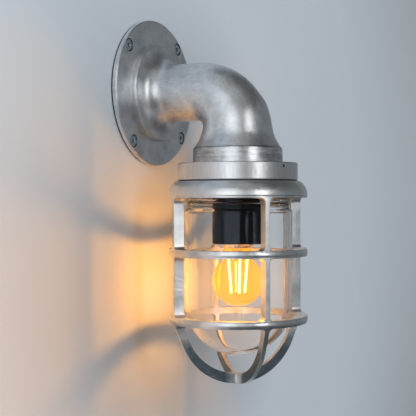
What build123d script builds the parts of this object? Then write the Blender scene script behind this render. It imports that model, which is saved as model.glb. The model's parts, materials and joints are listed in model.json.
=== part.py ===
from build123d import *
import math
import os

# Bulkhead wall light: a cast aluminium elbow on a round wall flange carries a
# turned lamp head, a screw-in glass jar, a screw-on cast guard with four ribs
# and two rings, and a phenolic lampholder with a filament golf-ball lamp.
# Units are millimetres. The origin is the centre of the back face on the wall,
# +Y points into the wall, +Z is up, and the lamp axis hangs down at -Y.

# Named clearances and one overrun that all cuts share
part_gap = 0.3
fit_gap = 0.1
overrun = 5.0

# Wall flange, its raised boss and the wall gasket behind it
flange_radius = 65.5
flange_thickness = 4.2
flange_chamfer = 0.8
gasket_thickness = 1.4
gasket_inset = 0.4
boss_radius = 43.4
boss_height = 5.5
boss_fillet = 1.5
arm_fillet = 15.6

# Four countersunk M5 screws, turned a little on the flange as photographed
screw_count = 4
screw_edge_distance = 6.5
screw_circle_radius = flange_radius - screw_edge_distance
screw_clocking = 4.5
screw_radius = 2.5
screw_neck_radius = 2.25
screw_hole_radius = 2.75
screw_length = 12.0
screw_head_radius = 5.0
countersink_radius = 5.6

# Elbow: arm out of the wall, bend, flared leg and collar
lamp_reach = 88.0
arm_radius = 25.7
arm_drop = 1.1
leg_radius = 31.3
bend_radius = 37.5
bend_growth = 1.5
bend_stations = 6
bend_lead = 6
casting_wall = 4.0
flare_height = 13.6
flare_growth = 1.4
flare_stations = 3
collar_radius = 39.3
collar_height = 12.8
collar_draft = 0.5
collar_step = 0.5

# Cage and glass: each radius follows the ribs inwards, by its own clearance
rib_outer_radius = 60.1
rib_depth = 9.2
rib_inner_radius = rib_outer_radius - rib_depth
glass_clearance = 3.4
glass_radius = rib_inner_radius - glass_clearance
glass_shoulder_step = 1.8
glass_neck_radius = glass_radius - glass_shoulder_step

# Lamp head under the collar: disc, floor, threaded spigots
skirt_bore_radius = glass_neck_radius + part_gap
skirt_wall = 3.2
skirt_radius = skirt_bore_radius + skirt_wall
skirt_length = 12.5
head_lip = 2.9
head_radius = skirt_radius + head_lip
head_height = 15.0
head_edge = 0.6
head_floor = 5.0
floor_sink = 1.0
neck_radius = 34.0
neck_length = 8.5
neck_bore_radius = 27.0
lock_screw_radius = 1.25
lock_screw_length = 7.0
lock_screw_drop = 3.6
lock_screw_angle = 15.4
lock_socket_flats = 1.3

# Seals
guard_seal_thickness = 0.9
guard_seal_inset = 0.4
guard_seal_radius = head_radius - guard_seal_inset
glass_seal_thickness = 2.0
glass_seal_width = 7.0

# Guard: bell-shaped top ring, two rings, four ribs that meet at the bottom
guard_bell_height = 12.7
guard_bell_overhang = 0.4
guard_bell_radius = rib_outer_radius + guard_bell_overhang
guard_bell_lip = 2.2
guard_bell_top_radius = head_radius + guard_bell_lip
guard_bell_belly_share = 0.6
guard_bell_drop_share = 0.31
guard_lip = 1.5
guard_band = 1.6
rib_count = 4
rib_thickness = 3.9
rib_angle = 39.3
ring_height = 6.3
ring_bead = 0.4
ring_bead_inset = 1.3
upper_ring_drop = 61.2
lower_ring_drop = 118.7
guard_depth = 175.6
guard_foot = 8.7
dome_share = 0.935
window_top_fillet = 4.5
window_fillet = 3.5
window_root_fillet = 6.0
foot_root_fillet = 3.6

# Glass jar with a threaded neck and a round bottom
glass_wall = 4.0
glass_neck_length = 21.0
glass_shoulder = 2.4
glass_length = 149.0

# Lampholder: cap, skirt, insulating core, brass screw shell and contacts
holder_radius = 22.2
holder_cap_height = 28.0
holder_cap_neck_radius = 10.0
holder_cap_neck_height = 4.0
holder_cap_wall = 3.0
holder_groove = 0.7
holder_groove_width = 1.2
holder_groove_pitch = 3.9
holder_skirt_height = 25.5
holder_skirt_wall = 2.0
holder_lip_thickness = 3.0
holder_spigot_height = 4.0
core_height = 8.0
core_boss_radius = 12.6
core_boss_height = 5.0
shell_radius = 13.3
shell_wall = 0.6
shell_flange_bore_radius = 9.0
nipple_radius = 5.0
nipple_bore_radius = 3.6
nipple_length = 19.0
nipple_into_cap = 9.0
nut_flats = 14.0
nut_height = 3.5
washer_radius = 9.0
washer_thickness = 1.0

# Contacts and terminals on the lampholder core
contact_strip_width = 5.0
contact_strip_length = 12.0
contact_strip_thickness = 0.6
contact_pad_radius = 2.2
contact_pad_height = 0.7
terminal_offset = 10.0
terminal_size = 6.0
terminal_height = 5.0
terminal_lead_drop = 2.6
terminal_screw_radius = 1.5
terminal_screw_head_radius = 2.2
terminal_screw_head_height = 1.2

# Lamp: 45 mm round envelope on a 27 mm screw cap
lamp_radius = 22.5
lamp_length = 78.0
lamp_glass_wall = 0.8
lamp_neck_radius = 12.4
lamp_cap_radius = 13.0
lamp_cap_length = 26.0
lamp_cap_wall = 0.4
lamp_cap_cone_height = 4.0
lamp_insulator_radius = 7.6
lamp_tip_radius = 4.7
lamp_tip_height = 2.2
lamp_tip_gap = 0.3
stem_flare_height = 7.0
stem_radius = 3.0
stem_neck_height = 9.0
stem_rod_radius = 1.5
stem_rod_overhang = 4.0
filament_count = 4
filament_radius = 0.9
filament_top_radius = 8.4
filament_bottom_radius = 6.0
filament_top_drop = 9.6
filament_bottom_gap = 12.0
filament_angle = 38.0
wire_radius = 0.35

# Mains terminal block in the arm, leads and the earth point on the head floor
block_poles = 3
block_pitch = 8.0
block_length = 18.0
block_height = 13.0
block_wall = 1.6
block_channel_height = 5.5
block_wall_distance = 18.0
block_screw_head_height = 1.5
block_screw_head_radius = 1.9
block_screw_depth = 5.0
lead_radius = 1.1
lead_bend_radius = 30.0
lead_spacing = 3.2
lead_tail_bend_radius = 3.4
lead_seat_length = 4.0
earth_bend_radius = 20.0
earth_offset = 15.0
earth_screw_radius = 2.0
earth_screw_length = 8.0
earth_head_radius = 3.8
earth_head_height = 2.6
earth_tag_radius = 4.2
earth_tag_thickness = 0.8
earth_tag_pitch = 7.5
earth_barrel_radius = 1.9
earth_barrel_height = 5.0

# Levels on the lamp axis, from the arm's centre height downwards
bend_end_z = -arm_drop - bend_radius
collar_top_z = bend_end_z - flare_height
head_top_z = collar_top_z - collar_height
head_bottom_z = head_top_z - head_height
floor_bottom_z = head_bottom_z - floor_sink
floor_top_z = floor_bottom_z + head_floor
guard_top_z = head_bottom_z - guard_seal_thickness
bell_bottom_z = guard_top_z - guard_bell_height
glass_seal_bottom_z = floor_bottom_z - glass_seal_thickness
glass_top_z = glass_seal_bottom_z
glass_bottom_z = glass_top_z - glass_length
holder_top_z = floor_bottom_z
cap_bottom_z = holder_top_z - holder_cap_height
holder_bottom_z = cap_bottom_z - holder_skirt_height
spigot_top_z = cap_bottom_z + holder_spigot_height
core_top_z = spigot_top_z + core_height
core_face_z = spigot_top_z - core_boss_height
contact_face_z = core_face_z - contact_strip_thickness - contact_pad_height
lamp_tip_z = contact_face_z - lamp_tip_gap
lamp_bottom_z = lamp_tip_z - lamp_length
lamp_rim_z = lamp_tip_z - lamp_cap_length
flange_face_y = -gasket_thickness - flange_thickness
boss_face_y = flange_face_y - boss_height
bend_start_y = -(lamp_reach - bend_radius)

nodes = {}


def turned(outline):
    """Turn a closed outline, drawn as (radius, height), about the Z axis."""
    return revolve(make_face(Plane.XZ * outline), Axis.Z)


def ring(outer_radius, inner_radius, low_z, high_z):
    """A plain ring about the Z axis."""
    return turned(Polyline((inner_radius, low_z), (outer_radius, low_z), (outer_radius, high_z),
                           (inner_radius, high_z), close=True))


def rod(radius, low_z, high_z):
    """A plain round bar about the Z axis."""
    return Pos(0, 0, low_z) * extrude(Circle(radius), high_z - low_z)


def on_lamp_axis(solid):
    """Move a solid drawn about the Z axis out to the lamp axis."""
    return Pos(0, -lamp_reach, 0) * solid


def from_wall(solid):
    """Lay a solid drawn along +Z so that it points out of the wall, along -Y."""
    return Rot(90, 0, 0) * solid


def add(name, *solids):
    """Keep the solids of one named piece."""
    nodes[name] = list(solids)


def hexagon(flats, depth):
    """A hexagonal bar that rises from Z = 0."""
    return extrude(RegularPolygon(flats / 2, 6, major_radius=False), depth)


def screw_places():
    """The four screw centres on the flange, as shifts from the wall axis."""
    step = 360 / screw_count
    angles = [screw_clocking + step * (index + 1 / 2) for index in range(screw_count)]
    return [Rot(0, 0, angle) * Pos(screw_circle_radius, 0, 0) for angle in angles]


# Elbow casting

def flange_and_arm():
    """Flange and boss turned about the wall axis, and the straight arm a little below it."""
    back = gasket_thickness
    face = back + flange_thickness
    boss_face = face + boss_height
    outline = Polyline((0, back), (flange_radius, back), (flange_radius, face - flange_chamfer),
                       (flange_radius - flange_chamfer, face), (boss_radius, face),
                       (boss_radius, boss_face - boss_fillet))
    outline += RadiusArc((boss_radius, boss_face - boss_fillet), (boss_radius - boss_fillet, boss_face),
                         -boss_fillet)
    outline += Polyline((boss_radius - boss_fillet, boss_face), (0, boss_face), (0, back))
    root = (arm_radius + arm_fillet, boss_face)
    shoulder = (arm_radius, boss_face + arm_fillet)
    arm_outline = Polyline((0, face), (root[0], face), root) + RadiusArc(root, shoulder, arm_fillet)
    arm_outline += Polyline(shoulder, (arm_radius, -bend_start_y), (0, -bend_start_y), (0, face))
    return from_wall(turned(outline)) + Pos(0, 0, -arm_drop) * from_wall(turned(arm_outline))


def bend_sections(start_radius, end_radius):
    """Circles round the quarter bend, growing slowly from the arm's radius to the leg's.

    The first lies a little up the straight arm, so that the loft leaves the arm without a bulge."""
    start = Vector(0, bend_start_y + bend_lead, bend_end_z + bend_radius)
    circles = [Plane(start, x_dir=(1, 0, 0), z_dir=(0, -1, 0)) * Circle(start_radius)]
    for index in range(bend_stations + 1):
        share = index / bend_stations
        angle = math.pi / 2 * share
        direction = Vector(0, -math.cos(angle), -math.sin(angle))
        centre = Vector(0, bend_start_y - bend_radius * math.sin(angle), bend_end_z + bend_radius * math.cos(angle))
        radius = start_radius + (end_radius - start_radius) * share ** bend_growth
        circles.append(Plane(centre, x_dir=(1, 0, 0), z_dir=direction) * Circle(radius))
    return circles


def bend_and_flare():
    """The bend's outside, which runs on without a break into the flare over the collar."""
    circles = bend_sections(arm_radius, leg_radius)
    flare_end = collar_radius - collar_draft - collar_step
    for index in range(flare_stations):
        share = (index + 1) / flare_stations
        radius = leg_radius + (flare_end - leg_radius) * share ** flare_growth
        centre = Vector(0, -lamp_reach, bend_end_z - flare_height * share)
        circles.append(Plane(centre, x_dir=(1, 0, 0), z_dir=(0, 0, -1)) * Circle(radius))
    return loft(circles)


def collar():
    """Collar and the spigot that carries the lamp head."""
    return turned(Polyline((0, collar_top_z), (collar_radius - collar_draft, collar_top_z),
                           (collar_radius, head_top_z), (neck_radius, head_top_z),
                           (neck_radius, head_top_z - neck_length), (0, head_top_z - neck_length), close=True))


def elbow_casting():
    outside = flange_and_arm() + bend_and_flare() + on_lamp_axis(collar())
    arm_bore = arm_radius - casting_wall
    leg_bore = neck_bore_radius
    hollow_arm = Pos(0, 0, -arm_drop) * from_wall(rod(arm_bore, gasket_thickness - overrun, -bend_start_y))
    hollow_leg = on_lamp_axis(rod(leg_bore, head_top_z - neck_length - overrun, bend_end_z))
    inside = hollow_arm + loft(bend_sections(arm_bore, leg_bore)) + hollow_leg
    holes = []
    depth = countersink_radius - screw_hole_radius
    for place in screw_places():
        drill = rod(screw_hole_radius, -overrun, -flange_face_y + overrun)
        sink = Pos(0, 0, -flange_face_y - depth) * Cone(screw_hole_radius, countersink_radius, depth,
                                                        align=(Align.CENTER, Align.CENTER, Align.MIN))
        holes.append(from_wall(place * (drill + sink)))
    return outside - inside - holes


def wall_gasket():
    radius = flange_radius - gasket_inset
    sheet = ring(radius, arm_radius - casting_wall + arm_drop, 0, gasket_thickness)
    holes = [place * rod(screw_hole_radius, -overrun, gasket_thickness + overrun) for place in screw_places()]
    return from_wall(sheet - holes)


def wall_screw():
    """Countersunk screw, drawn point down with its head's face at Z = 0."""
    cone = screw_head_radius - screw_neck_radius
    thread_top = flange_face_y + countersink_radius - screw_head_radius
    neck = rod(screw_neck_radius, thread_top, -cone)
    thread = rod(screw_radius, -screw_length, thread_top)
    head = Pos(0, 0, -cone) * Cone(screw_neck_radius, screw_head_radius, cone,
                                   align=(Align.CENTER, Align.CENTER, Align.MIN))
    return neck + thread + head


def wall_screws():
    recess = countersink_radius - screw_head_radius
    height = -flange_face_y - recess
    return [from_wall(place * Pos(0, 0, height) * wall_screw()) for place in screw_places()]


# Lamp head

def lamp_head():
    outline = Polyline((nipple_radius + fit_gap, floor_bottom_z), (skirt_bore_radius, floor_bottom_z),
                       (skirt_bore_radius, head_bottom_z - skirt_length),
                       (skirt_radius, head_bottom_z - skirt_length), (skirt_radius, head_bottom_z),
                       (head_radius - head_edge, head_bottom_z), (head_radius, head_bottom_z + head_edge),
                       (head_radius, head_top_z - head_edge), (head_radius - head_edge, head_top_z),
                       (neck_radius + fit_gap, head_top_z), (neck_radius + fit_gap, floor_top_z),
                       (nipple_radius + fit_gap, floor_top_z), close=True)
    head = turned(outline)
    lock_hole = Pos(0, 0, head_top_z - lock_screw_drop) * lock_frame() * rod(
        lock_screw_radius, neck_radius - overrun, head_radius + overrun)
    earth_hole = earth_place() * rod(earth_screw_radius, floor_top_z - earth_screw_length + head_floor / 2,
                                     floor_top_z + overrun)
    return head - lock_hole - earth_hole


def lock_frame():
    """Turn a bar drawn along +Z so that it runs out of the head's rim."""
    return Rot(0, 0, -lock_screw_angle) * Rot(90, 0, 0)


def earth_place():
    return Pos(earth_tag_pitch, earth_offset, 0)


def lock_screw():
    start = neck_radius + fit_gap / 2
    end = start + lock_screw_length
    body = rod(lock_screw_radius - fit_gap / 2, start, end)
    socket = Pos(0, 0, end - lock_screw_radius) * hexagon(lock_socket_flats, overrun)
    return Pos(0, 0, head_top_z - lock_screw_drop) * lock_frame() * (body - socket)


# Guard

def guard_outline():
    """Half section of the guard before its windows are cut."""
    bore = skirt_radius + part_gap
    upper_top = guard_top_z - upper_ring_drop + ring_height / 2
    upper_low = upper_top - ring_height
    lower_top = guard_top_z - lower_ring_drop + ring_height / 2
    lower_low = lower_top - ring_height
    lip_top = bell_bottom_z + guard_lip
    belly = (guard_bell_top_radius + (guard_bell_radius - guard_bell_top_radius) * guard_bell_belly_share,
             guard_top_z - guard_bell_height * guard_bell_drop_share)
    outline = Line((bore, guard_top_z), (guard_bell_top_radius, guard_top_z))
    outline += ThreePointArc((guard_bell_top_radius, guard_top_z), belly, (guard_bell_radius, lip_top))
    outline += Polyline((guard_bell_radius, lip_top), (guard_bell_radius, bell_bottom_z + guard_bell_overhang),
                        (rib_outer_radius, bell_bottom_z), (rib_outer_radius, upper_top - ring_bead_inset))
    outline += bead(upper_top, upper_low)
    outline += Line((rib_outer_radius, upper_low + ring_bead_inset), (rib_outer_radius, lower_top - ring_bead_inset))
    outline += bead(lower_top, lower_low)
    dome_start = lower_low + ring_bead_inset
    foot = guard_top_z - guard_depth
    inner_foot = foot + guard_foot
    inner_start = inner_foot + rib_inner_radius
    outline += dome((rib_outer_radius, dome_start), foot)
    outline += Line((0, foot), (0, inner_foot))
    outline += CenterArc((0, inner_start), rib_inner_radius, -90, 90)
    step = rib_inner_radius - bore
    outline += Polyline((rib_inner_radius, inner_start), (rib_inner_radius, bell_bottom_z),
                        (bore, bell_bottom_z + step), (bore, guard_top_z))
    return outline


def dome(start, foot):
    """The foot's outer face: a straight flank that runs tangent into an arc centred on the axis."""
    radius = rib_outer_radius * dome_share
    centre_z = foot + radius
    distance = math.hypot(start[0], start[1] - centre_z)
    angle = math.atan2(start[1] - centre_z, start[0]) - math.acos(radius / distance)
    tangent = (radius * math.cos(angle), centre_z + radius * math.sin(angle))
    return Line(start, tangent) + CenterArc((0, centre_z), radius, math.degrees(angle),
                                            -90 - math.degrees(angle))


def bead(top_z, low_z):
    """The rounded outer face of one guard ring."""
    return ThreePointArc((rib_outer_radius, top_z - ring_bead_inset),
                         (rib_outer_radius + ring_bead, (top_z + low_z) / 2),
                         (rib_outer_radius, low_z + ring_bead_inset))


def window(high_z, low_z, root_fillet, top_fillet, low_fillet):
    """The space between two ribs, with the cast fillets in its corners."""
    side = rib_thickness / 2
    reach = guard_bell_radius + overrun
    block = Pos(side, side, low_z) * Box(reach, reach, high_z - low_z, align=(Align.MIN, Align.MIN, Align.MIN))
    block = fillet(block.edges().filter_by(Axis.Z).sort_by_distance((0, 0, low_z))[0], root_fillet)
    near = side + root_fillet
    for level, radius in ((high_z, top_fillet), (low_z, low_fillet)):
        if radius:
            edges = [edge for edge in block.edges() if abs(edge.center().Z - level) < part_gap
                     and (edge.center().X < near or edge.center().Y < near)]
            block = fillet(edges, radius)
    return block


def guard():
    cage = turned(guard_outline())
    upper_top = guard_top_z - upper_ring_drop + ring_height / 2
    lower_top = guard_top_z - lower_ring_drop + ring_height / 2
    top_z = bell_bottom_z - guard_band
    foot = guard_top_z - guard_depth
    rows = [(top_z, upper_top, window_root_fillet, window_top_fillet, window_fillet),
            (upper_top - ring_height, lower_top, window_root_fillet, window_fillet, window_fillet),
            (lower_top - ring_height, foot - overrun, foot_root_fillet, window_fillet, 0)]
    openings = [window(*row) for row in rows]
    turns = [Rot(0, 0, 360 / rib_count * index) for index in range(rib_count)]
    cage = cage - [turn * opening for turn in turns for opening in openings]
    return Rot(0, 0, -rib_angle) * cage


# Glass jar

def glass_jar():
    low = glass_bottom_z + glass_radius
    shoulder_z = glass_top_z - glass_neck_length
    neck_bore = glass_neck_radius - glass_wall
    bore = glass_radius - glass_wall
    edge = glass_wall / 4
    outline = Polyline((neck_bore, glass_top_z - edge), (neck_bore + edge, glass_top_z),
                       (glass_neck_radius - edge, glass_top_z), (glass_neck_radius, glass_top_z - edge),
                       (glass_neck_radius, shoulder_z), (glass_radius, shoulder_z - glass_shoulder),
                       (glass_radius, low))
    outline += CenterArc((0, low), glass_radius, 0, -90)
    outline += Line((0, glass_bottom_z), (0, glass_bottom_z + glass_wall))
    outline += CenterArc((0, low), bore, -90, 90)
    outline += Polyline((bore, low), (bore, shoulder_z - glass_shoulder), (neck_bore, shoulder_z),
                        (neck_bore, glass_top_z - edge))
    return turned(outline)


# Lampholder

def holder_cap():
    """Domed cap with three grooves, a threaded neck and a bore for the core."""
    inner = holder_radius - holder_cap_wall
    neck_z = holder_top_z - holder_cap_neck_height
    dome = holder_radius - holder_cap_neck_radius
    wire_bore = inner - holder_cap_wall
    outline = Polyline((nipple_radius, holder_top_z), (holder_cap_neck_radius, holder_top_z),
                       (holder_cap_neck_radius, neck_z))
    dome_end = (holder_radius, neck_z - dome * 3 / 4)
    outline += RadiusArc((holder_cap_neck_radius, neck_z), dome_end, dome)
    steps = [dome_end]
    groove_top = cap_bottom_z + holder_groove_pitch * 3 - holder_groove_width
    for index in range(3):
        top = groove_top - index * holder_groove_pitch
        steps += [(holder_radius, top), (holder_radius - holder_groove, top - holder_groove_width / 4),
                  (holder_radius - holder_groove, top - holder_groove_width * 3 / 4),
                  (holder_radius, top - holder_groove_width)]
    steps += [(holder_radius, cap_bottom_z), (inner, cap_bottom_z), (inner, core_top_z),
              (wire_bore, core_top_z), (wire_bore, core_top_z + terminal_height + holder_cap_wall / 2),
              (nipple_radius, holder_top_z - nipple_into_cap), (nipple_radius, holder_top_z)]
    outline += Polyline(*steps)
    return turned(outline)


def holder_skirt():
    inner = holder_radius - holder_cap_wall - fit_gap
    outer_bore = holder_radius - holder_skirt_wall
    shell_seat = shell_radius + shell_wall + fit_gap
    tube = shell_seat + holder_skirt_wall
    lip = holder_bottom_z + holder_lip_thickness
    edge = holder_lip_thickness / 4
    outline = Polyline((shell_seat, holder_bottom_z), (holder_radius - edge, holder_bottom_z),
                       (holder_radius, holder_bottom_z + edge), (holder_radius, cap_bottom_z),
                       (inner, cap_bottom_z), (inner, spigot_top_z), (tube, spigot_top_z),
                       (tube, cap_bottom_z), (outer_bore, cap_bottom_z - holder_lip_thickness),
                       (outer_bore, lip), (tube, lip), (tube, core_face_z - holder_lip_thickness * 2),
                       (shell_seat, core_face_z - holder_lip_thickness * 2), close=True)
    return turned(outline)


def holder_core():
    """Insulating disc with a lower boss for the contacts."""
    radius = holder_radius - holder_cap_wall - fit_gap
    disc = rod(radius, spigot_top_z, core_top_z)
    boss = rod(core_boss_radius, core_face_z, spigot_top_z)
    return disc + boss


def screw_shell():
    outer = shell_radius + shell_wall
    low = holder_bottom_z + shell_wall
    return turned(Polyline((shell_radius, low), (outer, low), (outer, core_face_z),
                           (shell_flange_bore_radius, core_face_z),
                           (shell_flange_bore_radius, core_face_z - shell_wall),
                           (shell_radius, core_face_z - shell_wall), close=True))


def centre_contact():
    strip = Pos(0, 0, core_face_z - contact_strip_thickness / 2) * Box(
        contact_strip_length, contact_strip_width, contact_strip_thickness)
    pad = rod(contact_pad_radius, contact_face_z, core_face_z - contact_strip_thickness)
    return strip + pad


def holder_terminal(side):
    """Brass saddle on the core with a cross hole for the lead and a clamp screw's thread."""
    place = Pos(side * terminal_offset, 0, core_top_z)
    block = extrude(Rectangle(terminal_size, terminal_size), terminal_height)
    hole_z = terminal_height - terminal_lead_drop
    hole = Pos(0, 0, hole_z) * Rot(0, 90, 0) * Cylinder(lead_radius + fit_gap, terminal_size * 2)
    thread = rod(terminal_screw_radius, hole_z, terminal_height + overrun)
    return place * (block - hole - thread)


def holder_screw(side):
    """Screw that clamps the lead in its saddle."""
    lead_top = terminal_height - terminal_lead_drop + lead_radius
    head_top = terminal_height + terminal_screw_head_height
    shank = rod(terminal_screw_radius, lead_top, terminal_height)
    head = rod(terminal_screw_head_radius, terminal_height, head_top)
    return Pos(side * terminal_offset, 0, core_top_z) * (shank + head)


def nipple():
    high = holder_top_z - nipple_into_cap + nipple_length
    return ring(nipple_radius, nipple_bore_radius, holder_top_z - nipple_into_cap, high)


def nipple_washer():
    return ring(washer_radius, nipple_radius + fit_gap, floor_top_z, floor_top_z + washer_thickness)


def nipple_nut():
    low = floor_top_z + washer_thickness
    return Pos(0, 0, low) * hexagon(nut_flats, nut_height) - rod(nipple_radius, low - overrun, low + nut_height + overrun)


# Lamp

def lamp_envelope():
    """Thin round bulb whose neck runs up into the cap."""
    centre_z = lamp_bottom_z + lamp_radius
    neck_top = lamp_rim_z + lamp_cap_cone_height
    tangent = 38
    shoulder = (lamp_radius * math.sin(math.radians(tangent)), centre_z + lamp_radius * math.cos(math.radians(tangent)))
    neck = (lamp_neck_radius, lamp_rim_z - lamp_glass_wall)
    inner = lamp_radius - lamp_glass_wall
    shoulder_in = (inner * math.sin(math.radians(tangent)), centre_z + inner * math.cos(math.radians(tangent)))
    neck_in = (lamp_neck_radius - lamp_glass_wall, neck[1])
    outline = Polyline(neck_in, (neck_in[0], neck_top), (neck[0], neck_top), neck)
    outline += Line(neck, shoulder)
    outline += CenterArc((0, centre_z), lamp_radius, 90 - tangent, -(180 - tangent))
    outline += Line((0, lamp_bottom_z), (0, lamp_bottom_z + lamp_glass_wall))
    outline += CenterArc((0, centre_z), inner, -90, 180 - tangent)
    outline += Line(shoulder_in, neck_in)
    return turned(outline)


def lamp_cap():
    """Thin metal screw cap, open below, with a hole on top for the insulator."""
    cone_top = lamp_tip_z - lamp_tip_height
    cone_low = cone_top - lamp_cap_cone_height
    outer, wall = lamp_cap_radius, lamp_cap_wall
    hole = lamp_insulator_radius
    return turned(Polyline((outer, lamp_rim_z), (outer, cone_low), (hole + wall, cone_top), (hole, cone_top),
                           (outer - wall, cone_low - wall), (outer - wall, lamp_rim_z), close=True))


def lamp_insulator():
    """Black glass button between the cap and its tip contact."""
    cone_top = lamp_tip_z - lamp_tip_height
    return turned(Polyline((0, cone_top - lamp_tip_height / 2), (lamp_insulator_radius, cone_top - lamp_cap_wall),
                           (lamp_insulator_radius, cone_top),
                           (lamp_tip_radius, lamp_tip_z - lamp_tip_height / 2),
                           (0, lamp_tip_z - lamp_tip_height / 2), close=True))


def lamp_tip():
    return rod(lamp_tip_radius - lamp_cap_wall, lamp_tip_z - lamp_tip_height / 2, lamp_tip_z)


def lamp_stem():
    """Glass flare, tube and rod that hold the filaments."""
    top = lamp_rim_z + lamp_cap_cone_height / 2
    tube_z = top - stem_flare_height
    rod_z = tube_z - stem_neck_height
    end_z = filament_ends()[0][1].Z - stem_rod_overhang
    flare = lamp_neck_radius - lamp_glass_wall
    edge_z = top - lamp_glass_wall
    outline = Polyline((0, top), (flare, top), (flare, edge_z))
    outline += ThreePointArc((flare, edge_z), (stem_radius * 3 / 2, top - stem_flare_height * 3 / 5),
                             (stem_radius, tube_z))
    outline += Polyline((stem_radius, tube_z), (stem_radius, rod_z + stem_radius), (stem_rod_radius, rod_z),
                        (stem_rod_radius, end_z), (0, end_z), (0, top))
    return turned(outline)


def filament_ends():
    """Upper and lower end of each filament."""
    top_z = lamp_rim_z - filament_top_drop
    low_z = lamp_bottom_z + filament_bottom_gap
    ends = []
    for index in range(filament_count):
        angle = math.radians(filament_angle + 360 / filament_count * index)
        across, along = math.cos(angle), math.sin(angle)
        ends.append((Vector(filament_top_radius * across, filament_top_radius * along, top_z),
                     Vector(filament_bottom_radius * across, filament_bottom_radius * along, low_z)))
    return ends


def bar_between(start, end, radius):
    """A round bar from one point to another."""
    return extrude(Plane(start, z_dir=end - start) * Circle(radius), (end - start).length)


def lamp_filaments():
    return [bar_between(top, low, filament_radius) for top, low in filament_ends()]


def filament_wires():
    """Support wires from the stem's tube and from its rod to the ends of each filament."""
    wires = []
    for top, low in filament_ends():
        for end, inset, inner in ((top, -wire_radius, stem_radius), (low, wire_radius, stem_rod_radius)):
            level = Vector(0, 0, end.Z + inset * 2)
            direction = Vector(end.X, end.Y, 0)
            start = level + direction.normalized() * (inner + fit_gap / 4)
            finish = level + direction - direction.normalized() * (filament_radius + fit_gap)
            wires.append(bar_between(start, finish, wire_radius))
    return wires


# Mains terminal block, leads and earth point

def block_place():
    """Height at which the block's lower corners rest in the arm's bore."""
    bore = arm_radius - casting_wall - fit_gap
    half_width = block_pitch * block_poles / 2
    return -arm_drop - math.sqrt(bore ** 2 - half_width ** 2)


def terminal_block():
    low = block_place()
    block = Pos(0, -block_wall_distance, low) * Box(block_pitch * block_poles, block_length, block_height,
                                                    align=(Align.CENTER, Align.MAX, Align.MIN))
    groove = block_wall / 2
    cuts = []
    for index in range(block_poles):
        x = block_pitch * (index - (block_poles - 1) / 2)
        cuts.append(Pos(x, -block_wall_distance - block_length / 2, low + block_channel_height) * Rot(90, 0, 0)
                    * Cylinder(lead_radius + fit_gap, block_length * 2))
        for share in (1 / 4, 3 / 4):
            cuts.append(Pos(x, -block_wall_distance - block_length * share, low + block_height) * Cylinder(
                block_screw_head_radius + fit_gap, block_screw_depth * 2))
    for index in range(block_poles - 1):
        x = block_pitch * (index - (block_poles - 2) / 2)
        cuts.append(Pos(x, -block_wall_distance - block_length / 2, low + block_height) * Box(
            groove, block_length * 2, block_wall * 2))
    return block - cuts


def block_screws():
    screws = []
    low = block_place()
    for index in range(block_poles):
        x = block_pitch * (index - (block_poles - 1) / 2)
        for share in (1 / 4, 3 / 4):
            seat = low + block_height - block_screw_depth
            head = rod(block_screw_head_radius, seat, seat + block_screw_head_height)
            screws.append(Pos(x, -block_wall_distance - block_length * share, 0) * head)
    return screws


def lead(points, radii):
    """A round wire along straight runs joined by tangent arcs."""
    path = FilletPolyline(*points, radius=radii)
    start = path.edges()[0]
    return sweep((path ^ 0) * Circle(lead_radius), path=path)


def supply_lead(side):
    """Lead from an outer pole of the block, round the bend and down to the core's terminal."""
    channel_z = block_place() + block_channel_height
    mouth_y = -block_wall_distance - block_length
    axis_x = side * lead_spacing / 2
    tail_z = core_top_z + terminal_height - terminal_lead_drop
    end_x = side * (terminal_offset - terminal_size / 2 + lead_seat_length)
    points = [(side * block_pitch, mouth_y + lead_seat_length, channel_z),
              (side * block_pitch, mouth_y - lead_seat_length, channel_z), (axis_x, -lamp_reach, channel_z),
              (axis_x, -lamp_reach, tail_z), (end_x, -lamp_reach, tail_z)]
    return lead(points, [lead_tail_bend_radius, lead_bend_radius, lead_tail_bend_radius])


def earth_lead():
    """Lead from the middle pole to the tag on the lamp head's floor."""
    channel_z = block_place() + block_channel_height
    start_y = -block_wall_distance - block_length + lead_seat_length
    tag_y = -lamp_reach + earth_offset
    end_z = floor_top_z + earth_tag_thickness + earth_barrel_height - lead_seat_length
    points = [(0, start_y, channel_z), (0, tag_y, channel_z), (0, tag_y, end_z)]
    return lead(points, [earth_bend_radius])


def earth_tag():
    """Ring tag under the earth screw with a barrel bent up for the lead."""
    barrel = ring(earth_barrel_radius, lead_radius + fit_gap, floor_top_z, floor_top_z + earth_tag_thickness
                  + earth_barrel_height)
    plate = Pos(0, 0, floor_top_z) * extrude(SlotCenterToCenter(earth_tag_pitch, earth_barrel_radius * 2),
                                             earth_tag_thickness)
    plate = Pos(earth_tag_pitch / 2, 0, 0) * plate
    eye = Pos(earth_tag_pitch, 0, 0) * rod(earth_tag_radius, floor_top_z, floor_top_z + earth_tag_thickness)
    hole = Pos(earth_tag_pitch, 0, 0) * rod(earth_screw_radius + fit_gap, floor_top_z - overrun,
                                            floor_top_z + overrun)
    bore = rod(lead_radius + fit_gap, floor_top_z + earth_tag_thickness, floor_top_z + overrun * 2)
    return Pos(0, earth_offset, 0) * (barrel + plate + eye - hole - bore)


def earth_screw():
    seat = floor_top_z + earth_tag_thickness
    shank = rod(earth_screw_radius, seat - earth_screw_length + head_floor / 2, seat)
    head = rod(earth_head_radius, seat, seat + earth_head_height)
    head = chamfer(head.edges().sort_by(Axis.Z)[-1], earth_head_height / 4)
    return earth_place() * (shank + head)


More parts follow.
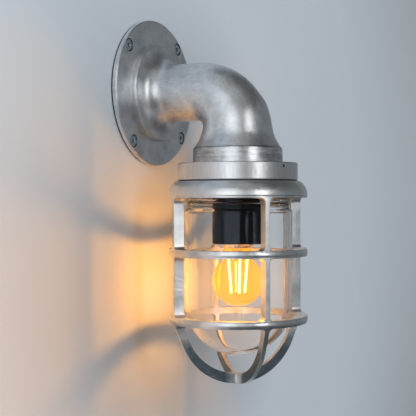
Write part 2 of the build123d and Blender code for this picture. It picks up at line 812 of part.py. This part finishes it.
add("wall_gasket", wall_gasket())
add("elbow_casting", elbow_casting())
add("wall_screws", *wall_screws())
add("lamp_head", on_lamp_axis(lamp_head()))
add("lock_screw", on_lamp_axis(lock_screw()))
add("guard_seal", on_lamp_axis(ring(guard_seal_radius, skirt_radius + part_gap, guard_top_z, head_bottom_z)))
add("guard", on_lamp_axis(guard()))
add("glass_seal", on_lamp_axis(ring(skirt_bore_radius - part_gap, skirt_bore_radius - glass_seal_width,
                                    glass_seal_bottom_z, floor_bottom_z)))
add("glass_jar", on_lamp_axis(glass_jar()))
add("lampholder_cap", on_lamp_axis(holder_cap()))
add("lampholder_skirt", on_lamp_axis(holder_skirt()))
add("lampholder_core", on_lamp_axis(holder_core()))
add("screw_shell", on_lamp_axis(screw_shell()))
add("centre_contact", on_lamp_axis(centre_contact()))
add("holder_terminals", *[on_lamp_axis(holder_terminal(side)) for side in (-1, 1)])
add("holder_screws", *[on_lamp_axis(holder_screw(side)) for side in (-1, 1)])
add("threaded_nipple", on_lamp_axis(nipple()))
add("nipple_washer", on_lamp_axis(nipple_washer()))
add("nipple_nut", on_lamp_axis(nipple_nut()))
add("lamp_envelope", on_lamp_axis(lamp_envelope()))
add("lamp_cap", on_lamp_axis(lamp_cap()))
add("lamp_insulator", on_lamp_axis(lamp_insulator()))
add("lamp_tip", on_lamp_axis(lamp_tip()))
add("lamp_stem", on_lamp_axis(lamp_stem()))
add("lamp_filaments", *[on_lamp_axis(bar) for bar in lamp_filaments()])
add("filament_wires", *[on_lamp_axis(bar) for bar in filament_wires()])
add("terminal_block", terminal_block())
add("block_screws", *block_screws())
add("live_lead", supply_lead(-1))
add("neutral_lead", supply_lead(1))
add("earth_lead", earth_lead())
add("earth_tag", on_lamp_axis(earth_tag()))
add("earth_screw", on_lamp_axis(earth_screw()))

os.makedirs("parts", exist_ok=True)
for name, solids in nodes.items():
    shape = solids[0] if len(solids) == 1 else Compound(children=solids)
    export_step(shape, f"parts/{name}.step")
    print(name, len(solids), round(sum(solid.volume for solid in solids)))
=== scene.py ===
import json
import math

import bmesh
import bpy
from mathutils import Matrix, Vector


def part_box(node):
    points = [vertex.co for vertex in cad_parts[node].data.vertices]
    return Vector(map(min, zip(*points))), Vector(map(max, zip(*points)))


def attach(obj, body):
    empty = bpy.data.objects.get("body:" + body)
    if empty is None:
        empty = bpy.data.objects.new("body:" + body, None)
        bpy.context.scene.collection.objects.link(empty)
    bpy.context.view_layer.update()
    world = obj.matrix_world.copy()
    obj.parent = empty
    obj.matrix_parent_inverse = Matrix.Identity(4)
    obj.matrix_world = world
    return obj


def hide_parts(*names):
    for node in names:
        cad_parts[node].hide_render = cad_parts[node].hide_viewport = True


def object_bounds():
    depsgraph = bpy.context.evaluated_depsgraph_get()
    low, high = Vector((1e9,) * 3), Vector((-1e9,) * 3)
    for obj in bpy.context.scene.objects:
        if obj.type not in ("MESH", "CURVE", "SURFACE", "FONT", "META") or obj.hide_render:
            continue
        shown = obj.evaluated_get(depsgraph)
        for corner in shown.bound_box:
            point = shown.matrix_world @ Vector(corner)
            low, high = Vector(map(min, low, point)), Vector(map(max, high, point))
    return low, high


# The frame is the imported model, in metres: the origin is the centre of the back face on the wall,
# +Y points into the wall, +Z is up, and the lamp axis hangs down at -Y.
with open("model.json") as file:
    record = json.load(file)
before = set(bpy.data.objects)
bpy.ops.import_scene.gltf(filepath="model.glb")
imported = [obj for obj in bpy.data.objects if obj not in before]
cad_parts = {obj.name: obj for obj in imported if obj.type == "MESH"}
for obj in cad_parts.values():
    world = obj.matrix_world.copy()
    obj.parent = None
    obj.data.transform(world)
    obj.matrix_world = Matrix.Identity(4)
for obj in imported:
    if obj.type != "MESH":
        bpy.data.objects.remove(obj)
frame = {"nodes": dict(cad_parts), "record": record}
nodes = frame["nodes"]
cad_box = [list(corner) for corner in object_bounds()]

MM = 0.001
jar_low, jar_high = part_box("glass_jar")
AXIS_Y = (jar_low.y + jar_high.y) / 2
bulb_low, bulb_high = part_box("lamp_envelope")
LAMP_CENTRE = Vector((0, AXIS_Y, bulb_low.z + (bulb_high.x - bulb_low.x) / 2))

# The collar stands on the lamp head
COLLAR_HEIGHT = 12.8 * MM
COLLAR_TOP_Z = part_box("lamp_head")[1].z + COLLAR_HEIGHT

# The four wall screws: circle, first one's angle, radius of the heads, their plane and the screws' ends
SCREW_CIRCLE = 59 * MM
SCREW_CLOCK = 49.5
SCREW_HEAD = 4.95 * MM
SCREW_FACE_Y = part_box("wall_screws")[0].y
SCREW_END_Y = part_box("wall_screws")[1].y

# Camera fitted to the photograph, whose frame is 416 by 416 pixels
CAMERA_PLACE = Vector((-774.3, -477.3, -95.7)) * MM
CAMERA_AZIMUTH = -61.59
CAMERA_PITCH = 0.545
CAMERA_ROLL = -0.16
CAMERA_FOCAL_PIXELS = 994.4
FRAME_PIXELS = 416
SENSOR = 36.0


# Shader helpers

class Graph:
    """Short calls for the nodes of a material or of the world."""

    def __init__(self, owner):
        owner.use_nodes = True
        self.tree = owner.node_tree

    def put(self, socket, value):
        """Gives a socket a value or a link."""
        if isinstance(value, bpy.types.NodeSocket):
            self.tree.links.new(value, socket)
        else:
            socket.default_value = value

    def fill(self, node, **named):
        """Fills a node's sockets by name, with _ for a space."""
        for key, value in named.items():
            self.put(node.inputs[key.replace("_", " ")], value)

    def node(self, kind, *values, operation=None, **named):
        """Adds a node and fills its first sockets in order, and others by name."""
        made = self.tree.nodes.new(kind)
        if operation:
            made.operation = operation
        for socket, value in zip(made.inputs, values):
            self.put(socket, value)
        self.fill(made, **named)
        return made

    def math(self, operation, *values):
        return self.node("ShaderNodeMath", *values, operation=operation).outputs[0]

    def plus(self, first, second):
        return self.math("ADD", first, second)

    def minus(self, first, second):
        return self.math("SUBTRACT", first, second)

    def times(self, first, second):
        return self.math("MULTIPLY", first, second)

    def weighted(self, *pairs):
        """The sum of values, each times its weight."""
        total = 0.0
        for value, weight in pairs:
            total = self.math("MULTIPLY_ADD", value, weight, total)
        return total

    def distance(self, *offsets):
        """The length of the line that has these offsets along the axes."""
        return self.math("SQRT", self.weighted(*((offset, offset) for offset in offsets)))

    def parts(self, vector):
        """The X, Y and Z of a vector."""
        return self.node("ShaderNodeSeparateXYZ", vector).outputs

    def ramp(self, value, *stops):
        """Runs from stop to stop, each a position from 0 to 1 and a colour, or one number for a grey."""
        made = self.node("ShaderNodeValToRGB", value)
        elements = made.color_ramp.elements
        while len(elements) < len(stops):
            elements.new(0.5)
        for element, (position, colour) in zip(elements, stops):
            element.position = position
            element.color = (*colour, 1) if isinstance(colour, tuple) else (colour, colour, colour, 1)
        return made.outputs[0]

    def span(self, size, *stops):
        """A ramp whose stops lie at real sizes, in rising order."""
        start, end = stops[0][0], stops[-1][0]
        share = self.node("ShaderNodeMapRange", size, start, end).outputs["Result"]
        return self.ramp(share, *(((place - start) / (end - start), colour) for place, colour in stops))


class Shader(Graph):
    """A material with its Principled shader at hand."""

    def __init__(self, name):
        self.material = bpy.data.materials.new(name)
        super().__init__(self.material)
        self.principled = self.tree.nodes["Principled BSDF"]

    def set(self, **named):
        self.fill(self.principled, **named)

    def place(self):
        """The point in the row frame, in metres."""
        return self.node("ShaderNodeTexCoord").outputs["Object"]

    def turned_place(self):
        """Angle, radius and height about the lamp axis."""
        x, y, z = self.parts(self.place())
        shifted = self.minus(y, AXIS_Y)
        return self.math("ARCTAN2", shifted, x), self.distance(x, shifted), z

    def stretched(self, vector, scale):
        return self.node("ShaderNodeMapping", vector, Scale=scale).outputs[0]

    def noise(self, vector, scale, detail=3.0, roughness=0.55):
        return self.node("ShaderNodeTexNoise", Vector=vector, Scale=scale, Detail=detail,
                         Roughness=roughness).outputs[0]

    def bump(self, height, distance, strength, below=None):
        """Normals of a height in metres, on top of the normals below."""
        made = self.node("ShaderNodeBump", Height=height, Distance=distance, Strength=strength)
        if below is not None:
            self.fill(made, Normal=below)
        return made.outputs[0]

    def softened(self, radius):
        """Normals that run softly over an edge, as on a cast or tumbled piece."""
        made = self.node("ShaderNodeBevel", Radius=radius)
        made.samples = 6
        return made.outputs[0]


# Materials

def screw_gap_painted_shade(shader, x, y, z):
    """Painted shade: 1 in the narrow gap round each wall screw's head and 0 elsewhere on the flange."""
    turn = math.radians(SCREW_CLOCK)
    along = shader.weighted((x, math.cos(turn)), (z, math.sin(turn)))
    across = shader.weighted((z, math.cos(turn)), (x, -math.sin(turn)))
    near = []
    for first, second in ((along, across), (across, along)):
        off = shader.minus(shader.math("ABSOLUTE", first), SCREW_CIRCLE)
        near.append(shader.distance(off, second))
    from_screw = shader.math("MINIMUM", *near)
    gap_start = SCREW_HEAD + 0.35 * MM
    gap_end = SCREW_HEAD + 1.05 * MM
    front = SCREW_FACE_Y - 2 * MM
    ring = shader.span(from_screw, (0, 1.0), (gap_start, 1.0), (gap_end, 0.0))
    return shader.times(ring, shader.math("GREATER_THAN", y, front))


def collar_smudges_and_crease_shade(shader, place, y, z):
    """Smudges on the collar, and a line of painted shade in the crease above it; the flange behind is left
    out.
    """
    smudges = shader.ramp(shader.noise(shader.stretched(place, (60, 60, 420)), 1.0, 3, 0.6),
                          (0.42, 0.0), (0.66, 0.20))
    above = shader.minus(z, COLLAR_TOP_Z)
    on_collar = shader.span(above, (-1.3 * MM, 1.0), (2.2 * MM, 0.0))
    crease_shade = shader.span(above, (-1.0 * MM, 0.0), (0.2 * MM, 0.20), (1.4 * MM, 0.0))
    smudges_and_painted_shade = shader.plus(shader.times(on_collar, shader.plus(smudges, 0.04)), crease_shade)
    flange_reach = 30 * MM
    return shader.times(smudges_and_painted_shade, shader.math("LESS_THAN", y, -flange_reach))


def cast_aluminium():
    """Tumbled sand casting: cloudy, with faint wipes and a fine grain; smudges on the collar, and painted
    shade in the crease above it and in the gaps round the screw heads.
    """
    shader = Shader("cast_aluminium")
    place = shader.place()
    x, y, z = shader.parts(place)
    clouds = shader.noise(place, 42, 3)
    patches = shader.noise(place, 130, 4, 0.65)
    wipes = shader.noise(shader.stretched(place, (900, 140, 900)), 1.0, 4, 0.6)
    grain = shader.noise(place, 2100, 2)
    # Smudges on the collar plus painted shade in the collar's crease and the screw gaps, taken off the base
    # colour
    smudges_and_painted_shade = shader.plus(collar_smudges_and_crease_shade(shader, place, y, z), screw_gap_painted_shade(shader, x, y, z))
    tone = shader.weighted((clouds, 0.45), (wipes, 0.25), (patches, 0.3), (smudges_and_painted_shade, -1.0))
    rough = shader.bump(grain, 0.10 * MM, 0.5, shader.softened(0.9 * MM))
    shader.set(Metallic=1.0,
               Base_Color=shader.ramp(tone, (0.0, (0.10, 0.12, 0.14)), (0.38, (0.57, 0.59, 0.61)),
                                      (0.62, (0.89, 0.91, 0.93))),
               Roughness=shader.ramp(tone, (0.38, 0.32), (0.62, 0.45)),
               Normal=shader.bump(clouds, 1.0 * MM, 0.2, rough))
    return shader.material


def turned_aluminium():
    """Fine upright streaks, broken here and there, as a worn turned disc shows."""
    shader = Shader("turned_aluminium")
    angle, radius, z = shader.turned_place()
    unrolled = shader.node("ShaderNodeCombineXYZ", shader.times(angle, 26.0), shader.times(z, 60.0), radius)
    streaks = shader.noise(unrolled.outputs[0], 1.0, 4, 0.6)
    grain = shader.noise(shader.place(), 1700, 2)
    rough = shader.bump(grain, 0.08 * MM, 0.4, shader.softened(0.7 * MM))
    shader.set(Metallic=1.0,
               Base_Color=shader.ramp(streaks, (0.3, (0.62, 0.63, 0.64)), (0.7, (0.75, 0.77, 0.79))),
               Roughness=shader.ramp(streaks, (0.3, 0.40), (0.7, 0.33)),
               Normal=shader.bump(streaks, 0.2 * MM, 0.15, rough))
    return shader.material


def foot_flank_painted_shade(shader, radius, z):
    """Painted shade that darkens the upright flanks of the lower ribs; the foot's middle is left as it is."""
    normal = shader.parts(shader.node("ShaderNodeNewGeometry").outputs["Normal"])
    upright = shader.ramp(shader.math("ABSOLUTE", normal["Z"]), (0.12, 1.0), (0.35, 0.0))
    foot_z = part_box("guard")[0].z
    low = shader.span(shader.minus(z, foot_z), (28.5 * MM, 1.0), (50.5 * MM, 0.0))
    off_axis = shader.span(radius, (8 * MM, 0.0), (14 * MM, 0.42))
    return shader.times(shader.times(upright, low), off_axis)


def guard_aluminium():
    """Blasted die casting with a rougher skin on the flanks of its ribs, and painted shade on the flanks of
    the lower ribs.
    """
    shader = Shader("guard_aluminium")
    place = shader.place()
    radius, z = shader.turned_place()[1:]
    clouds = shader.noise(place, 90, 4)
    pits = shader.noise(place, 420, 3, 0.6)
    grain = shader.noise(place, 1500, 3)
    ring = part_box("guard")[1].x
    flank = shader.span(shader.minus(radius, ring), (-5.6 * MM, 1.0), (-1.7 * MM, 0.51), (2.2 * MM, 0.25))
    # The lower ribs' flanks are darkened by painted shade
    tone = shader.plus(shader.weighted((clouds, 0.5), (foot_flank_painted_shade(shader, radius, z), -1.0)), 0.25)
    rough = shader.bump(grain, 0.10 * MM, 0.5, shader.softened(0.8 * MM))
    rough = shader.bump(shader.times(pits, flank), 0.9 * MM, 0.35, rough)
    shader.set(Metallic=1.0,
               Base_Color=shader.ramp(tone, (0.1, (0.15, 0.20, 0.23)), (0.41, (0.63, 0.65, 0.66)),
                                      (0.59, (0.81, 0.83, 0.84))),
               Roughness=shader.ramp(clouds, (0.3, 0.28), (0.7, 0.38)),
               Normal=shader.bump(clouds, 0.8 * MM, 0.3, rough))
    return shader.material


def plain(name, colour, metallic, roughness, grain_scale=1500, grain_depth=0.03 * MM, strength=0.3):
    """One colour with a slight mottle and a fine grain."""
    shader = Shader(name)
    place = shader.place()
    mottle = shader.noise(place, 220, 3)
    darker = tuple(channel * 0.88 for channel in colour)
    lighter = tuple(min(1.0, channel * 1.08) for channel in colour)
    shader.set(Metallic=metallic,
               Base_Color=shader.ramp(mottle, (0.35, darker), (0.65, lighter)),
               Roughness=shader.ramp(mottle, (0.35, roughness * 0.85), (0.65, min(1.0, roughness * 1.15))),
               Normal=shader.bump(shader.noise(place, grain_scale, 2), grain_depth, strength))
    return shader


def phenolic():
    """Glossy black mouldings with hardly any haze."""
    shader = plain("black_phenolic", (0.002, 0.002, 0.003), 0.0, 0.10, 900, 0.02 * MM, 0.1)
    shader.set(Specular_IOR_Level=0.12)
    return shader.material


def clear_glass(name, colour, painted_glow=(0, 0, 0, 1), painted_glow_strength=0.0):
    """Smooth glass with subdued reflections, which may carry a painted glow."""
    shader = Shader(name)
    shader.set(Base_Color=colour, Roughness=0.0, IOR=1.47, Transmission_Weight=1.0,
               Specular_Tint=(0.22, 0.27, 0.34, 1), Emission_Color=painted_glow, Emission_Strength=painted_glow_strength)
    return shader


def jar_glass():
    """Slightly rippled glass with a painted warm glow, strongest at the lamp's height and toward the wall."""
    shader = clear_glass("clear_glass", (0.985, 0.99, 0.985, 1), (1.0, 0.42, 0.10, 1))
    place = shader.place()
    spot = shader.parts(place)
    painted_glow = shader.span(shader.minus(spot["Z"], LAMP_CENTRE.z), (-65 * MM, 0.02), (-25 * MM, 0.035), (0, 0.05),
                       (20 * MM, 0.03), (32 * MM, 0.0))
    toward_wall = shader.span(shader.minus(spot["Y"], AXIS_Y), (0, 0.9), (45 * MM, 2.7))
    shader.set(Emission_Strength=shader.times(painted_glow, toward_wall),
               Normal=shader.bump(shader.noise(place, 45, 2), 0.25 * MM, 0.12))
    return shader.material


def glowing(name, colour, strength):
    """A surface that gives its own light, as the filaments do."""
    shader = Shader(name)
    shader.set(Base_Color=colour, Roughness=0.4, Emission_Color=colour, Emission_Strength=strength)
    return shader.material


materials = {
    "cast_aluminium": cast_aluminium(),
    "turned_aluminium": turned_aluminium(),
    "guard_aluminium": guard_aluminium(),
    "clear_glass": jar_glass(),
    # The lamp's glass envelope carries a painted amber glow
    "lamp_glass": clear_glass("lamp_glass", (1.0, 0.76, 0.36, 1), (1.0, 0.36, 0.05, 1), 0.25).material,
    "stem_glass": clear_glass("stem_glass", (1.0, 0.92, 0.78, 1)).material,
    "black_phenolic": phenolic(),
    "filament_yellow": glowing("filament_yellow", (1.0, 0.66, 0.30, 1), 8.0),
}

# Name, colour, metallic and roughness
for plain_look in (
    ("zinc_steel", (0.52, 0.60, 0.66), 1.0, 0.26),
    ("black_rubber", (0.025, 0.025, 0.027), 0.0, 0.65),
    ("white_ceramic", (0.82, 0.80, 0.73), 0.0, 0.25),
    ("brass", (0.80, 0.60, 0.28), 1.0, 0.25),
    ("nickel_cap", (0.72, 0.70, 0.66), 1.0, 0.25),
    ("black_insulator", (0.02, 0.02, 0.02), 0.0, 0.15),
    ("block_white", (0.84, 0.84, 0.80), 0.0, 0.45),
    ("lead_brown", (0.20, 0.09, 0.04), 0.0, 0.4),
    ("lead_blue", (0.04, 0.16, 0.55), 0.0, 0.4),
    ("lead_green", (0.16, 0.42, 0.10), 0.0, 0.4),
):
    materials[plain_look[0]] = plain(*plain_look).material

slot_of = {row["node"]: row["material_slot"] for row in frame["record"]["subparts"]}
for name, piece in nodes.items():
    piece.material_slots[0].material = materials[slot_of[name]]
for name in ("glass_jar", "lamp_envelope", "lamp_stem"):
    nodes[name].visible_shadow = False


# Pieces made here in more detail than the solids

def helix(top, low, pitch, depth, share=0.62):
    """How far a thread's ridge stands out at an angle and a height; it fades at both ends."""
    def rise(angle, z):
        turns = (top - z) / pitch - angle / (2 * math.pi)
        phase = abs(turns - math.floor(turns) - 0.5) * 2
        fade = min(1.0, max(0.0, (top - z) / pitch)) * min(1.0, max(0.0, (z - low) / pitch))
        flank = min(1.0, max(0.0, (1 - phase / share) * 2))
        return depth * fade * flank * flank * (3 - 2 * flank)
    return rise


def hexagon(flats, radius):
    """How far a hexagonal wall lies from a round one, by the angle."""
    def rise(angle, z):
        return flats / 2 / math.cos(angle % (math.pi / 3) - math.pi / 6) - radius
    return rise


def threaded(radius, high, low, pitch, depth, fine=10):
    """Points down one wall with a thread whose crest is at the radius."""
    rise = helix(high, low, pitch, depth)
    rows = round((high - low) / pitch * fine)
    return [(radius - depth, high - (high - low) * row / rows, rise) for row in range(rows + 1)]


def arc(centre_z, radius, start, end, count=28):
    """Points of an arc about a centre on the axis, by the angle from straight down."""
    points = []
    for step in range(count + 1):
        angle = math.radians(start + (end - start) * step / count)
        points.append((radius * math.sin(angle), centre_z - radius * math.cos(angle)))
    return points


def turned_mesh(name, profile, axis=(0, 0), steps=144, sharp=35):
    """Turns a closed profile about a vertical axis. A point is (radius, height[, rise])."""
    points, faces = [], []
    count = len(profile)
    for step in range(steps):
        angle = 2 * math.pi * step / steps
        for radius, height, *rise in profile:
            radius += rise[0](angle, height) if rise else 0
            points.append((axis[0] + radius * math.cos(angle), axis[1] + radius * math.sin(angle), height))
    for step in range(steps):
        here, there = step * count, (step + 1) % steps * count
        for index in range(count):
            following = (index + 1) % count
            faces.append((here + index, there + index, there + following, here + following))
    mesh = bpy.data.meshes.new(name)
    mesh.from_pydata(points, [], faces)
    cleaned = bmesh.new()
    cleaned.from_mesh(mesh)
    bmesh.ops.remove_doubles(cleaned, verts=cleaned.verts, dist=0.001 * MM)
    bmesh.ops.dissolve_degenerate(cleaned, edges=cleaned.edges, dist=0.001 * MM)
    bmesh.ops.recalc_face_normals(cleaned, faces=cleaned.faces)
    cleaned.to_mesh(mesh)
    cleaned.free()
    mesh.shade_smooth()
    mesh.set_sharp_from_angle(angle=math.radians(sharp))
    return mesh


def add_piece(name, mesh, slot, body, replaced):
    """Puts a mesh in the scene on a body, in place of the CAD node that it stands for."""
    piece = bpy.data.objects.new(name, mesh)
    mesh.materials.append(materials[slot])
    bpy.context.scene.collection.objects.link(piece)
    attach(piece, body)
    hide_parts(replaced)
    return piece


def glass_jar():
    """The jar with its glass thread, rounded rim and soft shoulder."""
    low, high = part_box("glass_jar")
    radius = (high.x - low.x) / 2
    wall = 4 * MM
    neck = 45.7 * MM
    neck_bottom = high.z - 21 * MM
    thread_depth = 1.1 * MM
    thread_pitch = 4.4 * MM
    thread_start = high.z - 2 * MM
    thread_end = neck_bottom + 1.5 * MM
    root = neck - thread_depth
    rim = 1.2 * MM
    shoulder_start = neck_bottom + 0.5 * MM
    shoulder_drop = 3.84 * MM
    shoulder_steps = 8
    inner_shoulder = 2.4 * MM
    profile = [(root - rim, high.z), (root, high.z - rim)]
    profile += threaded(neck, thread_start, thread_end, thread_pitch, thread_depth)
    for step in range(shoulder_steps + 1):
        share = step / shoulder_steps
        profile.append((root + (radius - root) * (1 - math.cos(math.pi * share)) / 2,
                        shoulder_start - shoulder_drop * share))
    bowl_z = low.z + radius
    profile += arc(bowl_z, radius, 90, 0) + arc(bowl_z, radius - wall, 0, 90)
    profile += [(radius - wall, neck_bottom - inner_shoulder), (neck - wall, neck_bottom + inner_shoulder),
                (neck - wall, high.z - rim), (neck - wall + rim / 2, high.z)]
    return turned_mesh("glass_jar_turned", profile, (0, AXIS_Y))


def wall_screws():
    """Four countersunk screws with hexagon sockets, their heads just inside the flange's face."""
    edge = 0.3 * MM
    head_height = 3.0 * MM
    neck = 2.25 * MM
    neck_end = -5.0 * MM
    radius = 2.5 * MM
    pitch = 0.8 * MM
    thread_depth = 0.35 * MM
    end_radius = 1.7 * MM
    end_taper = 0.6 * MM
    length = SCREW_END_Y - SCREW_FACE_Y
    socket_flats = 3 * MM
    socket = 1.6 * MM
    socket_mouth = 2.05 * MM
    socket_depth = 2.1 * MM
    socket_point = 0.6 * MM
    flats = hexagon(socket_flats, socket)
    profile = [(0, -socket_depth - socket_point), (socket, -socket_depth, flats), (socket, -edge, flats),
               (socket_mouth, 0), (SCREW_HEAD - edge, 0), (SCREW_HEAD, -edge), (neck, -head_height),
               (neck, neck_end)]
    profile += threaded(radius, neck_end, end_taper - length, pitch, thread_depth, 8)
    profile += [(end_radius, -length), (0, -length)]
    one = turned_mesh("wall_screw", profile, steps=48, sharp=30)
    all_four = bmesh.new()
    for index in range(4):
        angle = math.radians(SCREW_CLOCK + 90 * index)
        spot = (SCREW_CIRCLE * math.cos(angle), SCREW_FACE_Y, SCREW_CIRCLE * math.sin(angle))
        lying = Matrix.Rotation(math.radians(90), 4, "X") @ Matrix.Rotation(angle * 3, 4, "Z")
        copy = one.copy()
        copy.transform(Matrix.Translation(spot) @ lying)
        all_four.from_mesh(copy)
    mesh = bpy.data.meshes.new("wall_screws_threaded")
    all_four.to_mesh(mesh)
    all_four.free()
    return mesh


def lamp_cap():
    """The lamp's screw cap with its rolled thread above a plain rim."""
    low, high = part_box("lamp_cap")
    radius = (high.x - low.x) / 2
    wall = 0.4 * MM
    pitch = 3.63 * MM
    depth = 1.0 * MM
    run_out = 0.3 * MM
    edge_in, edge_up = 0.1 * MM, 0.2 * MM
    rim_top = low.z + 4.6 * MM
    shoulder = high.z - 4 * MM
    end_radius = 8 * MM
    inside = radius - depth - wall
    profile = [(radius - wall, low.z), (radius - edge_in, low.z), (radius, low.z + edge_up),
               (radius, rim_top)]
    profile += threaded(radius, shoulder - run_out, rim_top + run_out, pitch, depth, 12)
    profile += [(radius - depth, shoulder), (end_radius, high.z), (end_radius - wall, high.z),
                (inside, shoulder - wall), (inside, rim_top + wall), (radius - wall, rim_top - wall)]
    return turned_mesh("lamp_cap_threaded", profile, (0, AXIS_Y), 96)


add_piece("glass_jar_turned", glass_jar(), "clear_glass", "glass_jar", "glass_jar").visible_shadow = False
add_piece("wall_screws_threaded", wall_screws(), "zinc_steel", "base", "wall_screws")
add_piece("lamp_cap_threaded", lamp_cap(), "nickel_cap", "lamp", "lamp_cap")


# Stage: a floor, the wall, the room's light, lamps and the camera

STAGE_REACH = 1.2
STAGE_MIDDLE_Z = -0.12
FLOOR_DROP = 0.9
WALL_GAP = 0.4 * MM
FLOOR_FADE_START = 0.70
WALL_FADE_START = 0.55
FADE_END = 1.0


def fading(shader, offsets, start, *factors):
    """Fades a stage surface out by the length of the offsets, so that no edge cuts the picture."""
    shown = shader.span(shader.distance(*offsets), (start, 1.0), (FADE_END, 0.0))
    for factor in factors:
        shown = shader.times(shown, factor)
    clear = shader.node("ShaderNodeBsdfTransparent").outputs[0]
    surface = shader.node("ShaderNodeMixShader", shown, clear, shader.principled.outputs[0]).outputs[0]
    shader.put(shader.tree.nodes["Material Output"].inputs["Surface"], surface)
    return shader.material


def floor_material():
    """Plain grey floor, far below the light."""
    shader = Shader("floor")
    shader.set(Base_Color=(0.50, 0.54, 0.58, 1), Roughness=0.9)
    spot = shader.parts(shader.place())
    return fading(shader, (spot["X"], spot["Y"]), FLOOR_FADE_START)


def wall_material():
    """Painted wall, shown to the camera and in metal and glass; lights and views from behind pass it. Its own
    light carries painted shade near the lamp and a painted warm glow to the lower left.
    """
    shader = Shader("wall")
    x, y, z = shader.parts(shader.place())
    from_lamp = shader.distance(x, shader.minus(z, LAMP_CENTRE.z))
    # Painted shade: the wall's own light fades out close to the lamp
    level = shader.span(from_lamp, (0.05, 0.0), (0.16, 0.13), (0.30, 0.29))
    # Painted warm glow: the wall's own light turns warmer and brighter to the lower left of the light fitting
    aside = shader.span(x, (-0.13, 1.0), (-0.05, 0.0))
    lower = shader.span(z, (-0.14, 1.0), (0.06, 0.0))
    painted_warm_glow = shader.times(aside, lower)
    shader.set(Base_Color=(0.62, 0.66, 0.70, 1), Roughness=0.85,
               Emission_Color=shader.ramp(painted_warm_glow, (0.0, (0.86, 1.0, 1.12)), (1.0, (1.0, 0.78, 0.66))),
               Emission_Strength=shader.times(level, shader.plus(painted_warm_glow, 1.0)))
    path = shader.node("ShaderNodeLightPath").outputs
    seen = shader.plus(path["Is Camera Ray"], shader.plus(path["Is Glossy Ray"], path["Is Transmission Ray"]))
    front = shader.minus(1.0, shader.node("ShaderNodeNewGeometry").outputs["Backfacing"])
    offsets = (x, y, shader.minus(z, STAGE_MIDDLE_Z))
    return fading(shader, offsets, WALL_FADE_START, shader.math("MINIMUM", seen, 1.0), front)


def stage_plane(name, corners, material):
    """Adds a flat backdrop, which isn't part of the object."""
    mesh = bpy.data.meshes.new(name)
    mesh.from_pydata(corners, [], [(0, 1, 2, 3)])
    mesh.materials.append(material)
    plane = bpy.data.objects.new(name, mesh)
    bpy.context.scene.collection.objects.link(plane)


corner_signs = ((-1, -1), (1, -1), (1, 1), (-1, 1))
square = [(across * STAGE_REACH, along * STAGE_REACH) for across, along in corner_signs]
floor_z = cad_box[0][2] - FLOOR_DROP
stage_plane("floor", [(x, y, floor_z) for x, y in square], floor_material())
stage_plane("wall", [(x, WALL_GAP, z + STAGE_MIDDLE_Z) for x, z in square], wall_material())


def studio_world():
    """A pale room, brightest along the wall on the left and darkest in the room on the right."""
    by_degrees = ((0, 0.28), (14, 0.34), (50, 0.42), (100, 0.48), (130, 0.64), (155, 0.88), (170, 0.96),
                  (190, 0.50), (205, 0.20), (232, 0.17), (255, 0.24), (268, 0.22), (290, 0.19), (325, 0.22),
                  (348, 0.24), (360, 0.28))
    by_height = ((-1.0, 0.15), (-0.6, 0.20), (-0.2, 0.80), (0.0, 1.0), (0.24, 0.90), (0.60, 0.50),
                 (1.0, 0.25))
    tint = (0.93, 1.0, 1.06)
    world = bpy.data.worlds.new("studio")
    bpy.context.scene.world = world
    graph = Graph(world)
    x, y, z = graph.parts(graph.node("ShaderNodeTexCoord").outputs["Generated"])
    share = graph.math("FRACT", graph.times(graph.math("ARCTAN2", y, x), 1 / (2 * math.pi)))
    around = graph.ramp(share, *((degrees / 360, level) for degrees, level in by_degrees))
    level = graph.times(around, graph.span(z, *by_height))
    tinted = graph.node("ShaderNodeVectorMath", level, tint, operation="MULTIPLY").outputs[0]
    graph.put(graph.tree.nodes["Background"].inputs["Color"], tinted)


studio_world()


def add_light(name, kind, place, power, **settings):
    """Adds a lamp; the settings are its data's own."""
    data = bpy.data.lights.new(name, kind)
    data.energy = power
    for key, value in settings.items():
        setattr(data, key, value)
    light = bpy.data.objects.new(name, data)
    light.location = place
    bpy.context.scene.collection.objects.link(light)
    return light


# Soft lights, aimed at the middle of the wall light: name, place, width, height and power
light_target = Vector((0, AXIS_Y / 2, -0.09))
for name, place, width, height, power in (
    ("key", (-1.28, -0.42, 0.25), 0.8, 1.2, 3.4),
    ("window", (-0.56, -1.36, 0.25), 0.30, 0.8, 3.2),
    ("top", (-0.5, -0.5, 1.2), 1.0, 1.0, 0.9),
):
    soft = add_light(name, "AREA", place, power, shape="RECTANGLE", size=width, size_y=height)
    soft.rotation_euler = (light_target - Vector(place)).to_track_quat("-Z", "Y").to_euler()

# The lamp's own warm light, which the filaments' small surfaces alone give with too much noise: the
# glow falls on the wall and the gleam on the metal
for name, power, unlit in (("lamp_glow", 0.62, "visible_glossy"), ("lamp_gleam", 0.13, "visible_diffuse")):
    warm = add_light(name, "POINT", LAMP_CENTRE, power, color=(1.0, 0.41, 0.05), shadow_soft_size=8 * MM)
    for rays in ("visible_camera", "visible_transmission", unlit):
        setattr(warm, rays, False)


def photo_camera():
    """The camera that was fitted to the photograph."""
    azimuth, pitch, roll = (math.radians(value) for value in (CAMERA_AZIMUTH, CAMERA_PITCH, CAMERA_ROLL))
    right = Vector((math.cos(azimuth), math.sin(azimuth), 0))
    level = Vector((-math.sin(azimuth), math.cos(azimuth), 0))
    forward = math.cos(pitch) * level - math.sin(pitch) * Vector((0, 0, 1))
    up = right.cross(forward)
    across = math.cos(roll) * right + math.sin(roll) * up
    upward = math.cos(roll) * up - math.sin(roll) * right
    data = bpy.data.cameras.new("camera")
    data.sensor_width = SENSOR
    data.lens = SENSOR * CAMERA_FOCAL_PIXELS / FRAME_PIXELS
    data.clip_start = 0.01
    camera = bpy.data.objects.new("camera", data)
    turn = Matrix((across, upward, -forward)).transposed().to_4x4()
    camera.matrix_world = Matrix.Translation(CAMERA_PLACE) @ turn
    bpy.context.scene.collection.objects.link(camera)
    bpy.context.scene.camera = camera


photo_camera()
bpy.context.scene.view_settings.view_transform = "Standard"
